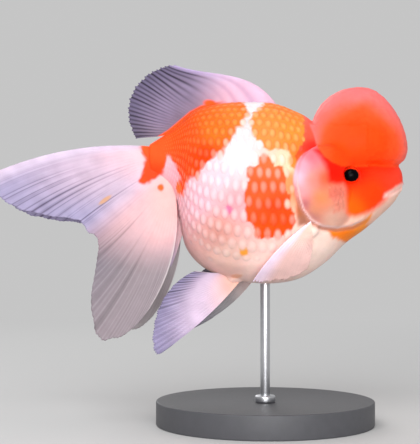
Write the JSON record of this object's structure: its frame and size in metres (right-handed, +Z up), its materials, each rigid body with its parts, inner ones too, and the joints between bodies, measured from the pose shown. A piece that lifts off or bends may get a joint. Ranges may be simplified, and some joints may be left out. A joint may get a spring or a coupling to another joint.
{
  "type": "crown pearlscale goldfish on a display stand",
  "caption": "Life-size high-head pearlscale goldfish with a domed crown, round scaly body, double tail and spread fins, held as it swims by a round base with a short rod.",
  "frame": {"origin": "centre of the stand's underside", "axes": "+X towards the fish's head, +Y its left side, +Z up"},
  "size_m": [0.1367, 0.072, 0.1187],
  "materials": {
    "head_skin": "moist orange-red skin",
    "crown_skin": "smooth soft orange-red skin, paler at the rim",
    "scaly_skin": "white and orange skin with raised pearl-centred scales",
    "gill_cover": "smooth pale pink skin",
    "eye": "wet black",
    "fin": "thin translucent lavender-white membrane over rays",
    "stand_base": "plain matt grey",
    "stand_rod": "satin steel"
  },
  "bodies": {
    "root": {"head": "head_skin", "crown": "crown_skin", "trunk": "scaly_skin", "tail_stalk": "scaly_skin", "gill_cover_left": "gill_cover", "gill_cover_right": "gill_cover", "lips": "gill_cover", "eye_left": "eye", "eye_right": "eye", "dorsal_fin": "fin", "tail_fin_left": "fin", "tail_fin_right": "fin", "pectoral_fin_left": "fin", "pectoral_fin_right": "fin", "pelvic_fin_left": "fin", "pelvic_fin_right": "fin", "anal_fin_left": "fin", "anal_fin_right": "fin", "stand_base": "stand_base", "stand_rod": "stand_rod"}
  },
  "joints": []
}
